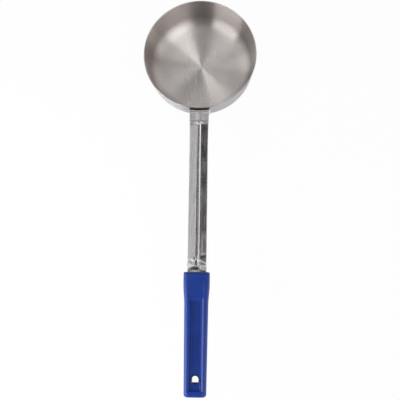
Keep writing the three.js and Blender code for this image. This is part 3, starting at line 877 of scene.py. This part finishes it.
def grip_material(settings):
    """Blue polypropylene with a fine moulded grain."""
    material, tree, shader, place = new_material("blue_polypropylene")
    sizes = settings.grip
    cloud = noise(tree, place, scale=70.0, detail=3.0)
    grain = noise(tree, place, scale=2600.0, detail=2.0)
    mottle = plus(tree, sums(tree, "MULTIPLY", cloud, 0.7), grain, amount=0.3)
    base = shaded(tree, (*sizes.plastic, 1), graded(tree, mottle, low=0.88, high=1.12))
    # Paints shade round the hang hole and along the front.
    base = blend(tree, grip_painted_shade(tree, place, settings), base, (*sizes.painted_shade, 1))
    rough = graded(tree, cloud, low=0.30, high=0.38)
    bump = node(tree, "Bump", {"Strength": 0.25, "Distance": 0.00005, "Height": grain})[0]
    feed(tree, shader, {"Base Color": base, "Roughness": rough, "Normal": bump, "Specular IOR Level": 0.32})
    return material


class LADLE_OT_finish_welds(bpy.types.Operator):
    """Gives the two spot welds their fused steel"""

    bl_idname = "ladle.finish_welds"
    bl_label = "Finish welds"

    def execute(self, context):
        material = weld_material()
        for name in ("spot_weld_left", "spot_weld_right"):
            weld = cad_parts[name]
            weld.data.materials.clear()
            weld.data.materials.append(material)
        return {"FINISHED"}


def direction(azimuth, elevation):
    """Unit vector for an azimuth from +X towards +Y and an elevation, in degrees."""
    a, e = math.radians(azimuth), math.radians(elevation)
    return Vector((math.cos(a) * math.cos(e), math.sin(a) * math.cos(e), math.sin(e)))


# Soft patches of the studio round the table, each laid over those before it: azimuth, elevation, half
# angle of the full patch and of its faded edge, colour. The rest of the room is STUDIO_LOW.
STUDIO_PATCHES = (
    (178, 77, 52, 71, (0.26, 0.25, 0.25)),
    (-41, 18, 22, 41, (1.3, 1.3, 1.3)),
    (120, 76, 13, 31, (1.8, 1.8, 1.8)),
    (157, 14, 5, 10, (2.5, 2.5, 2.5)),
    (-4, 2, 7, 13, (3.0, 3.0, 3.0)),
    (68, 32, 8, 14, (0.15, 0.15, 0.15)),
    (45, 60, 13, 20, (0.05, 0.05, 0.05)),
    (11, 23, 10, 16, (0.03, 0.03, 0.03)),
    (8, 53, 5, 11, (1.2, 1.2, 1.2)),
    (-126, 64, 22, 31, (0.02, 0.02, 0.02)),
    (-93, 25, 7, 19, (0.36, 0.34, 0.34)),
    (156, 43, 6, 12, (2.1, 2.1, 2.1)),
    (144, 57, 4, 16, (0.56, 0.56, 0.56)),
    (92, 62, 4, 14, (0.3, 0.3, 0.3)),
)
STUDIO_LOW = (1.36, 1.34, 1.33)

# Soft boxes: name, azimuth and elevation from the point that they shine on, distance, width, height, power.
SOFT_BOXES = (
    ("soft_box_right", -42, 57, 1.5, 0.97, 1.2, 3.5),
    ("soft_box_left", -146, 21, 0.42, 0.37, 0.34, 1.65),
)
LIGHT_AIM = Vector((0, -0.1, 0.02))


def studio_world():
    """White behind the object, and a soft room of pale and dark patches for light and reflections."""
    world = bpy.data.worlds.new("studio_room")
    world.use_nodes = True
    tree = world.node_tree
    tree.nodes.clear()
    way = node(tree, "TexCoord")["Generated"]
    room = (*STUDIO_LOW, 1)
    for azimuth, elevation, inner, outer, tone in STUDIO_PATCHES:
        facing = vector_sums(tree, "DOT_PRODUCT", way, direction(azimuth, elevation))
        share = spread(tree, facing, math.cos(math.radians(outer)), math.cos(math.radians(inner)))
        room = blend(tree, share, room, (*tone, 1))
    seen = node(tree, "LightPath")["Is Camera Ray"]
    lit = node(tree, "Background", {"Color": room})[0]
    white = node(tree, "Background", {"Color": (1, 1, 1, 1)})[0]
    both = node(tree, "MixShader", {0: seen, 1: lit, 2: white})[0]
    node(tree, "OutputWorld", {"Surface": both})
    return world


def table_material(studio):
    """Pale table that shows white to the camera and in the steel, with a faint shadow left on it."""
    material, tree, shader, _ = new_material("pale_table")
    feed(tree, shader, {"Base Color": (*studio.table, 1), "Roughness": 0.8})
    path = node(tree, "LightPath")
    seen = sums(tree, "MAXIMUM", path["Is Camera Ray"], path["Is Glossy Ray"])
    seen = sums(tree, "MAXIMUM", seen, path["Is Transmission Ray"])
    glow = node(tree, "Emission", {"Color": (1, 1, 1, 1)})[0]
    share = sums(tree, "MULTIPLY", seen, TABLE_GLOW)
    pale = node(tree, "MixShader", {0: share, 1: shader.outputs[0], 2: glow})[0]
    clear = node(tree, "BsdfTransparent")[0]
    under = node(tree, "NewGeometry")["Backfacing"]
    both = node(tree, "MixShader", {0: under, 1: pale, 2: clear})[0]
    output = next(n for n in tree.nodes if n.type == "OUTPUT_MATERIAL")
    feed(tree, output, {"Surface": both})
    return material


def flat_disc(name, size, middle, sides, material):
    """Makes a flat disc for the stage."""
    bm = bmesh.new()
    bmesh.ops.create_circle(bm, cap_ends=True, radius=0.5, segments=sides)
    bmesh.ops.scale(bm, verts=bm.verts, vec=(*size, 1))
    bmesh.ops.translate(bm, verts=bm.verts, vec=middle)
    return mesh_object(name, bm, material)


def camera_card(studio):
    """Dark card round the camera, which only shines back from the steel and the grip."""
    material, tree, shader, _ = new_material("black_felt")
    feed(tree, shader, {"Base Color": (0.02, 0.02, 0.02, 1), "Roughness": 0.9, "Specular IOR Level": 0.1})
    size = (studio.card_width, studio.card_length)
    card = flat_disc("camera_card", size, studio.card_place, CARD_SIDES, material)
    card.visible_camera = card.visible_diffuse = card.visible_shadow = False
    card.visible_transmission = card.visible_volume_scatter = False
    return card


def soft_box(name, azimuth, elevation, distance, width, height, power):
    """Makes a soft box that shines on the handle's start and is not seen itself."""
    lamp = bpy.data.lights.new(name, "AREA")
    lamp.shape = "RECTANGLE"
    lamp.size, lamp.size_y, lamp.energy = width, height, power
    box = new_object(name, lamp)
    way = direction(azimuth, elevation)
    box.location = LIGHT_AIM + way * distance
    box.rotation_euler = (-way).to_track_quat("-Z", "Y").to_euler()
    box.visible_camera = False


def photo_camera(studio):
    """Makes the camera that looks down on the ladle."""
    lens = bpy.data.cameras.new("camera")
    lens.lens = studio.lens
    lens.sensor_width = FILM_WIDTH
    camera = new_object("camera", lens)
    camera.location = studio.camera_place
    camera.rotation_euler = Euler(studio.camera_turn)
    return camera


class LADLE_OT_make_stage(bpy.types.Operator):
    """Sets up the table, the light and the camera"""

    bl_idname = "ladle.make_stage"
    bl_label = "Make stage"

    def execute(self, context):
        scene = context.scene
        studio = scene.ladle.studio
        table = flat_disc("table", (TABLE_WIDTH, TABLE_WIDTH), (0, 0, -TABLE_DROP), TABLE_SIDES,
                          table_material(studio))
        hood = camera_card(studio)
        for row in SOFT_BOXES:
            soft_box(*row)
        scene.world = studio_world()
        scene.camera = photo_camera(studio)
        scene.view_settings.view_transform = "Standard"
        return {"FINISHED"}


class LADLE_PT_panel(bpy.types.Panel):
    """Lists the steps that model the ladle"""

    bl_idname = "LADLE_PT_panel"
    bl_label = "Sauce ladle"
    bl_space_type = "VIEW_3D"
    bl_region_type = "UI"
    bl_category = "Ladle"

    def draw(self, context):
        settings = context.scene.ladle
        for step, group in STEPS:
            self.layout.operator(step.bl_idname)
            if group:
                for name in getattr(settings, group).bl_rna.properties.keys():
                    if name not in ("rna_type", "name"):
                        self.layout.prop(getattr(settings, group), name)


STEPS = (
    (LADLE_OT_make_bowl, "bowl"),
    (LADLE_OT_make_shank, "shank"),
    (LADLE_OT_finish_welds, None),
    (LADLE_OT_make_grip, "grip"),
    (LADLE_OT_make_stage, "studio"),
)
CLASSES = (BowlSettings, ShankSettings, GripSettings, StudioSettings, LadleSettings,
           *(step for step, _ in STEPS), LADLE_PT_panel)


def register():
    """Adds the settings, the operators and the panel to Blender."""
    for made in CLASSES:
        bpy.utils.register_class(made)
    bpy.types.Scene.ladle = PointerProperty(type=LadleSettings, name="Ladle", description="The sauce ladle")


def unregister():
    """Takes them away again."""
    del bpy.types.Scene.ladle
    for made in reversed(CLASSES):
        bpy.utils.unregister_class(made)


def main():
    """Models the ladle and its stage step by step."""
    register()
    bpy.ops.ladle.make_bowl()
    bpy.ops.ladle.make_shank()
    bpy.ops.ladle.finish_welds()
    bpy.ops.ladle.make_grip()
    bpy.ops.ladle.make_stage()
    bpy.context.view_layer.update()


if __name__ == "__main__":
    main()
